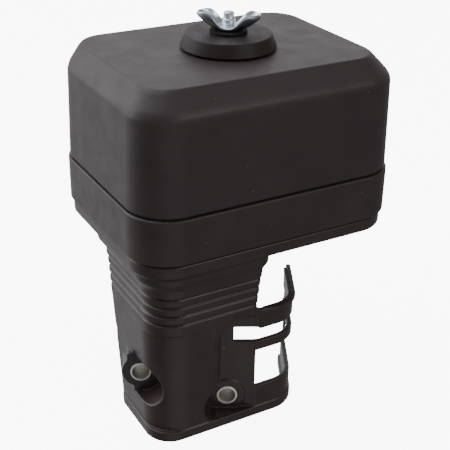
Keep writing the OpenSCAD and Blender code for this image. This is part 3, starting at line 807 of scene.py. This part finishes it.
def collar(name, side):
    """Steel collar pressed into a stud boss, with its ends rolled over; its bore and a thin rim round the hole take a
    darker copy of the steel, as painted shade inside the hole.
    """
    along, end, shaded_rim = STUD_PITCH / 2, -BOSS_DEPTH - 0.3, 0.45
    points = [(COLLAR_HOLE_R, 0), (COLLAR_R, 0), (COLLAR_R, end), (COLLAR_HOLE_R, end)]
    obj = lathe(name, rounded_ring(points, [0.3, 0.3, 0.45, 0.35], 5), segments=64)
    obj.data.materials.append(collar_mat)
    obj.data.materials.append(collar_bore_shade_mat)
    centre = ORIGIN * MM
    # painted shade: faces in the bore and within a thin rim of the hole take the darker copy of the collar's steel
    for face in obj.data.polygons:
        if math.hypot(face.center.x - centre.x, face.center.y - centre.y) < (COLLAR_HOLE_R + shaded_rim) * MM:
            face.material_index = 1
    c, s = math.cos(STUD_SLOPE), math.sin(STUD_SLOPE)
    shift = Matrix.Translation((side * along * c * MM, 0, -side * along * s * MM))
    place = Matrix.Rotation(-TURN, 4, "Z") @ shift @ Matrix.Rotation(-math.pi / 2, 4, "X")
    obj.data.transform(place @ Matrix.Translation(-ORIGIN * MM))
    return obj


def seal_ring(name, hx, hy, r, width, z0, z1):
    """A soft ring that follows the case's outline."""
    corners = [(0, z1), (width, z1), (width, z0), (0, z0)]
    edge = min(0.35, (z1 - z0) / 3)
    section = rounded_ring(corners, [edge] * 4, 3)
    return loft(name, [rectangle_ring(hx - d, hy - d, r - d, z) for d, z in section])


# ---- materials ----

class Nodes:
    """Short calls to build a node tree."""

    def __init__(self, tree):
        self.tree, self.nodes = tree, tree.nodes
        self.nodes.clear()

    def feed(self, socket, value):
        if hasattr(value, "links"):
            self.tree.links.new(value, socket)
        else:
            socket.default_value = value

    def add(self, kind, values=None, **settings):
        node = self.nodes.new("ShaderNode" + kind)
        for key, value in settings.items():
            setattr(node, key, value)
        for key, value in (values or {}).items():
            self.feed(node.inputs[key], value)
        return node

    def noise(self, vector, scale, detail=4, roughness=0.55):
        values = {"Vector": vector, "Scale": scale, "Detail": detail, "Roughness": roughness}
        return self.add("TexNoise", values).outputs["Fac"]

    def ramp(self, value, low, high, out_low=0.0, out_high=1.0, kind="LINEAR"):
        values = {"Value": value, "From Min": low, "From Max": high, "To Min": out_low, "To Max": out_high}
        return self.add("MapRange", values, interpolation_type=kind).outputs["Result"]

    def math(self, operation, a, b):
        node = self.add("Math", {0: a, 1: b}, operation=operation)
        return node.outputs[0]

    def mix(self, factor, a, b):
        node = self.add("Mix", data_type="RGBA")
        for name, value in (("Factor", factor), ("A", a), ("B", b)):
            self.feed(next(s for s in node.inputs if s.name == name and s.enabled), value)
        return next(s for s in node.outputs if s.enabled)


def rgba(colour, gain=1.0):
    return tuple(min(1, c * gain) for c in colour) + (1,)


def slot_colour(slot):
    return next(m["base_color"] for m in frame["record"]["materials"] if m["slot"] == slot)


WARM = (1.10, 0.90, 0.93)


def finish_material(name, slot, rough, grain, mottle, metal=0.0, wear=None, dust=None, specular=0.5, gain=1.0):
    """Moulded, rubber or metal finish: mottled colour, uneven gloss, grain, worn edges and specks of dust.

    rough is a range; grain and mottle are a noise scale and an amount; wear is the sharpness at full wear,
    an amount and a colour; dust is a cell scale, a speck's size, its rarity and a colour.
    """
    mat = bpy.data.materials.new(name)
    mat.use_nodes = True
    n = Nodes(mat.node_tree)
    colour = slot_colour(slot)
    if slot.endswith("_plastic"):
        colour = [c * w for c, w in zip(colour, WARM)]
    place = n.add("TexCoord").outputs["Object"]
    cloudy = n.noise(place, mottle[0], 5)
    dark, light = rgba(colour, gain * (1 - mottle[1])), rgba(colour, gain * (1 + mottle[1]))
    base = n.mix(n.ramp(cloudy, 0.35, 0.65), dark, light)
    patchy = n.noise(place, mottle[0] * 2.3, 6, 0.6)
    roughness = n.ramp(patchy, 0.3, 0.7, rough[0], rough[1])
    if wear:
        edge_high, amount, worn = wear
        edge = n.ramp(n.add("NewGeometry").outputs["Pointiness"], 0.53, edge_high)
        rubbed = n.ramp(n.noise(place, 160, 6, 0.65), 0.48, 0.62)
        amount = n.math("MULTIPLY", n.math("MULTIPLY", edge, rubbed), amount)
        base = n.mix(amount, base, rgba(worn))
    if dust:
        scale, size, rarity, speck = dust
        cells = n.add("TexVoronoi", {"Vector": place, "Scale": scale, "Randomness": 1.0})
        near = n.ramp(cells.outputs["Distance"], size, size * 0.4)
        cell_value = n.add("SeparateColor", {"Color": cells.outputs["Color"]}).outputs[0]
        chance = n.ramp(cell_value, rarity, rarity + 0.02)
        base = n.mix(n.math("MULTIPLY", near, chance), base, rgba(speck))
    height = n.noise(place, grain[0], 3, 0.6)
    waves = n.noise(place, mottle[0] * 0.8, 2)
    bump = n.add("Bump", {"Height": height, "Strength": grain[1], "Distance": 0.0002})
    soft = n.add("Bump", {"Height": waves, "Strength": grain[1] * 0.6, "Distance": 0.0012,
                          "Normal": bump.outputs["Normal"]})
    finish = {"Base Color": base, "Roughness": roughness, "Metallic": metal, "Normal": soft.outputs["Normal"],
              "Specular IOR Level": specular}
    shader = n.add("BsdfPrincipled", finish)
    n.add("OutputMaterial", {"Surface": shader.outputs["BSDF"]})
    return mat


PALE = (0.17, 0.155, 0.14)
elbow_mat = finish_material(
    "elbow_moulded", "elbow_plastic", rough=(0.27, 0.40), grain=(1100, 0.05), mottle=(45, 0.14),
    wear=(0.62, 0.55, (0.22, 0.20, 0.19)), dust=(330, 0.13, 0.955, PALE))
case_mat = finish_material(
    "case_moulded", "case_plastic", rough=(0.38, 0.52), grain=(1500, 0.07), mottle=(50, 0.12),
    wear=(0.62, 0.5, (0.2, 0.18, 0.17)), dust=(320, 0.13, 0.955, PALE))
cover_mat = finish_material(
    "cover_moulded", "cover_plastic", rough=(0.40, 0.52), grain=(1700, 0.09), mottle=(40, 0.10),
    wear=(0.60, 0.5, (0.2, 0.19, 0.18)), dust=(320, 0.13, 0.96, PALE))
cap_mat = finish_material(
    "cap_moulded", "cover_plastic", rough=(0.42, 0.54), grain=(1700, 0.08), mottle=(70, 0.12), gain=0.7, specular=0.26,
    wear=(0.60, 0.4, (0.18, 0.17, 0.17)), dust=(350, 0.12, 0.96, PALE))
rubber_mat = finish_material(
    "rubber_matt", "seal_rubber", rough=(0.6, 0.8), grain=(2200, 0.12), mottle=(140, 0.18), specular=0.2, gain=0.7)
collar_mat = finish_material(
    "collar_bright", "collar_steel", rough=(0.30, 0.45), metal=0.4, grain=(900, 0.04), mottle=(350, 0.08), gain=1.15)
# the collar's steel again, darker, for its bore: painted shade inside the hole, not a different finish
collar_bore_shade_mat = finish_material(
    "collar_bore_painted_shade", "collar_steel", rough=(0.45, 0.6), metal=0.8, grain=(900, 0.08), mottle=(300, 0.2), gain=0.62)
screw_mat = finish_material(
    "screw_plated", "screw_steel", rough=(0.28, 0.45), metal=1.0, grain=(1200, 0.08), mottle=(300, 0.15))
stud_mat = finish_material(
    "stud_plated", "stud_zinc", rough=(0.28, 0.42), metal=1.0, grain=(1500, 0.04), mottle=(380, 0.10), gain=1.45)
wing_mat = finish_material(
    "wing_plated", "wing_zinc", rough=(0.14, 0.24), metal=1.0, grain=(1500, 0.015), mottle=(150, 0.06), gain=1.1)
grid_mat = finish_material(
    "grid_moulded", "grid_plastic", rough=(0.38, 0.5), grain=(1200, 0.06), mottle=(80, 0.08),
    dust=(300, 0.2, 0.93, (0.12, 0.09, 0.06)))
foam_mat = finish_material(
    "foam_oiled", "filter_foam", rough=(0.5, 0.8), grain=(1400, 0.6), mottle=(420, 0.45), specular=0.4)


# ---- every piece, on its body ----

def levels(node):
    lo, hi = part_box(node)
    return lo.z / MM - SEAM, hi.z / MM - SEAM


def half_sizes(node):
    lo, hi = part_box(node)
    return (hi.x - lo.x) / 2 / MM, (hi.y - lo.y) / 2 / MM


def stand_in(obj, mat, node):
    """The piece takes the node's place, body and material slot."""
    body = next(b for b, nodes in frame["record"]["behaviour"]["bodies"].items() if node in nodes)
    if not obj.data.materials:
        obj.data.materials.append(mat)
    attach(obj, body)
    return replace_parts(obj, node)


def make_base():
    stand_in(make_elbow(), elbow_mat, "elbow")
    case_low, case_high = (-CASE_HX, -CASE_HY, -CASE_H), (CASE_HX, CASE_HY, PIPE_TOP)
    stand_in(field_piece("oil_case_shell", case_field, case_low, case_high, SHELL_STEP, 0.3), case_mat, "oil_case")
    for side, node in ((-1, "collar_left"), (1, "collar_right")):
        stand_in(collar(node + "_steel", side), collar_mat, node)

    gasket_z = levels("case_gasket")
    hx, hy = half_sizes("case_gasket")
    low, high = (-hx, -hy, gasket_z[0]), (hx, hy, gasket_z[1])
    gasket = field_piece("gasket_sheet", gasket_field(hx, hy, *gasket_z), low, high, 0.6, 0.3)
    stand_in(gasket, rubber_mat, "case_gasket")
    seal_z = levels("cover_seal")
    hx, hy = half_sizes("cover_seal")
    stand_in(seal_ring("cover_seal_ring", hx, hy, CORNER_R - 1.3, 1.8, *seal_z), rubber_mat, "cover_seal")

    stand_in(make_stud(), stud_mat, "centre_stud")
    for node in ("lower_stud_nut", "upper_stud_nut"):
        z0, z1 = levels(node)
        nut = field_piece(node + "_hex", hex_nut_field(z0, z1), (-6, -6, z0), (6, 6, z1), 0.25, 0.5)
        stand_in(nut, screw_mat, node)
    z0, z1 = levels("stud_washers")
    lower = washer("lower", 6, STUD_R + 0.25, z0, z0 + 1.2)
    upper = washer("upper", 6, STUD_R + 0.25, z1 - 1.2, z1)
    pair = join("stud_washer_pair", [lower.data, upper.data], [lower, upper])
    stand_in(pair, screw_mat, "stud_washers")
    stand_in(washer("stud_seal_ring", 7, STUD_R + 0.1, *levels("stud_seal"), edge=0.4), rubber_mat, "stud_seal")

    z0, z1 = levels("screw_washers")
    ring = washer("ring", 4.4, 2.2, z0, z1)
    stand_in(copies(ring, "screw_washer_set", SCREWS), screw_mat, "screw_washers")
    z0, z1 = levels("case_screws")
    screw = field_piece("screw", screw_field(z0, z1), (-4, -4, z0), (4, 4, z1), 0.25, 0.5)
    stand_in(copies(screw, "case_screw_set", SCREWS), screw_mat, "case_screws")
    grid_piece("lower_grid", 14.5, 3.2, 2.6)


def grid_piece(node, corner, tube_gap, pipe_gap):
    hx, hy = half_sizes(node)
    z0, z1 = levels(node)
    field = grid_field(hx, hy, corner, z0, z1, TUBE_R + tube_gap, PIPE_R + pipe_gap)
    obj = field_piece(node + "_lattice", field, (-hx, -hy, z0), (hx, hy, z1), 0.5, 0.3)
    stand_in(obj, grid_mat, node)


def make_top():
    grid_piece("upper_grid", 13.5, 2.1, 3)
    low = (-COVER_HX, -COVER_HY, TUBE_END)
    cover = field_piece("cover_shell", cover_field, low, (COVER_HX, COVER_HY, COVER_H), SHELL_STEP, 0.3)
    stand_in(cover, cover_mat, "cover")
    hx, hy = half_sizes("filter_element")
    z0, z1 = levels("filter_element")
    foam = field_piece("foam_block", foam_field, (-hx, -hy, z0), (hx, hy, z1), FOAM_STEP, 0.6, rounds=1)
    stand_in(foam, foam_mat, "filter_element")
    r = half_sizes("inlet_cap")[0]
    z0, z1 = levels("inlet_cap")
    stand_in(field_piece("cap_disc", cap_field, (-r, -r, z0), (r, r, z1), 0.35, 0.35), cap_mat, "inlet_cap")
    r = half_sizes("nut_seal")[0]
    rubber = washer("rubber_washer", r, STUD_R + 0.3, *levels("nut_seal"), edge=0.3, groove=0.2)
    stand_in(rubber, rubber_mat, "nut_seal")
    hx, hy = half_sizes("wing_nut")
    z0, z1 = levels("wing_nut")
    reach, top = max(hx, hy) + 1, min(z1 + 0.6, STUD_TOP)
    wing = field_piece("wing_nut_sheet", wing_field, (-reach, -reach, z0), (reach, reach, top), WING_STEP)
    stand_in(wing, wing_mat, "wing_nut")


make_base()
make_top()


# ---- camera, floor and light ----

AZIMUTH, ELEVATION, ROLL = (math.radians(a) for a in (-29.694, 27.360, 1.0496))
DISTANCE, LOOK_BELOW_SEAM = 459.25, 35.49


def make_camera():
    level = math.cos(ELEVATION)
    back = Vector((math.sin(AZIMUTH) * level, -math.cos(AZIMUTH) * level, math.sin(ELEVATION)))
    right = (-back).cross(Vector((0, 0, 1))).normalized()
    up = right.cross(-back)
    c, s = math.cos(ROLL), math.sin(ROLL)
    axes = Matrix((right * c + up * s, up * c - right * s, back)).transposed()
    target = ORIGIN - Vector((0, 0, LOOK_BELOW_SEAM))
    data = bpy.data.cameras.new("camera")
    data.sensor_width, data.lens = 36, 77.24
    data.clip_start, data.clip_end = 0.02, 20
    camera = add_object("camera", data)
    camera.matrix_world = Matrix.Translation((target + back * DISTANCE) * MM) @ axes.to_4x4()
    bpy.context.scene.camera = camera


def make_floor():
    """A pale floor under the elbow's bottom rim."""
    z, reach, rings, segments = elbow_lo.z * MM - 0.0002, 6.0, 8, 48
    verts, faces = [(0, 0, z)], []
    for i in range(1, rings + 1):
        verts += circle(reach * (i / rings) ** 2, z, segments)
    for k in range(segments):
        faces.append((0, 1 + k, 1 + (k + 1) % segments))
    for i in range(rings - 1):
        for k in range(segments):
            a, b = 1 + i * segments + k, 1 + i * segments + (k + 1) % segments
            faces.append((a, a + segments, b + segments, b))
    mesh = bpy.data.meshes.new("floor")
    mesh.from_pydata(verts, [], faces)
    floor = add_object("floor", mesh)
    mat = bpy.data.materials.new("floor_paper")
    mat.use_nodes = True
    n = Nodes(mat.node_tree)
    paper = {"Base Color": (0.8, 0.8, 0.8, 1), "Roughness": 0.9, "Specular IOR Level": 0.1,
             "Emission Color": (1, 1, 1, 1), "Emission Strength": FLOOR_GLOW}
    shader = n.add("BsdfPrincipled", paper)
    n.add("OutputMaterial", {"Surface": shader.outputs["BSDF"]})
    mesh.materials.append(mat)
    floor.visible_glossy = False
    floor.visible_diffuse = False


def make_world():
    """A white studio: bright behind the object and overhead, dim in front, with a soft glow low in front."""
    world = bpy.data.worlds.new("studio")
    world.use_nodes = True
    bpy.context.scene.world = world
    n = Nodes(world.node_tree)
    direction = n.add("TexCoord").outputs["Generated"]
    way = n.add("SeparateXYZ", {"Vector": direction})
    behind = n.ramp(way.outputs["Y"], 0.1, 0.85, WORLD_FRONT, WORLD_BACK, "SMOOTHSTEP")
    above = n.ramp(way.outputs["Z"], -0.5, 0.5, 0.75, 1.15)
    facing = n.add("VectorMath", {0: direction, 1: LOW_GLOW_WAY}, operation="DOT_PRODUCT")
    low_glow = n.ramp(facing.outputs["Value"], 0.72, 1.0, 0.0, LOW_GLOW, "SMOOTHSTEP")
    strength = n.math("ADD", n.math("MULTIPLY", behind, above), low_glow)
    seen = n.add("LightPath").outputs["Is Camera Ray"]
    lit = n.add("Background", {"Color": (0.95, 0.96, 1, 1), "Strength": strength})
    white = n.add("Background", {"Color": (1, 1, 1, 1), "Strength": WORLD_SEEN})
    mixed = n.add("MixShader", {0: seen, 1: lit.outputs["Background"], 2: white.outputs["Background"]})
    n.add("OutputWorld", {"Surface": mixed.outputs["Shader"]})


def area_light(name, place, size, power, colour=(1, 1, 1)):
    """A softbox aimed at the box; its place is in millimetres round the seam's middle."""
    aim = (0, 0, -30)
    data = bpy.data.lights.new(name, "AREA")
    data.shape, data.size, data.size_y = "RECTANGLE", size[0], size[1]
    data.energy, data.color = power, colour
    light = add_object(name, data)
    light.location = (Vector(place) + ORIGIN) * MM
    light.rotation_euler = (Vector(aim) - Vector(place)).to_track_quat("-Z", "Y").to_euler()


FLOOR_GLOW, WORLD_SEEN = 8.5, 10
WORLD_FRONT, WORLD_BACK = 0.25, 1.0
LOW_GLOW, LOW_GLOW_WAY = 0.35, (-0.17, -0.87, -0.46)
make_camera()
make_floor()
make_world()
area_light("softbox_above", (-250, 250, 900), (0.9, 0.9), 5, colour=(0.86, 0.93, 1))
area_light("softbox_left", (-750, 650, 350), (0.6, 0.9), 4)
area_light("softbox_front", (300, -900, 500), (0.5, 0.5), 2)


# ---- the scene brought up to date ----

bpy.context.view_layer.update()
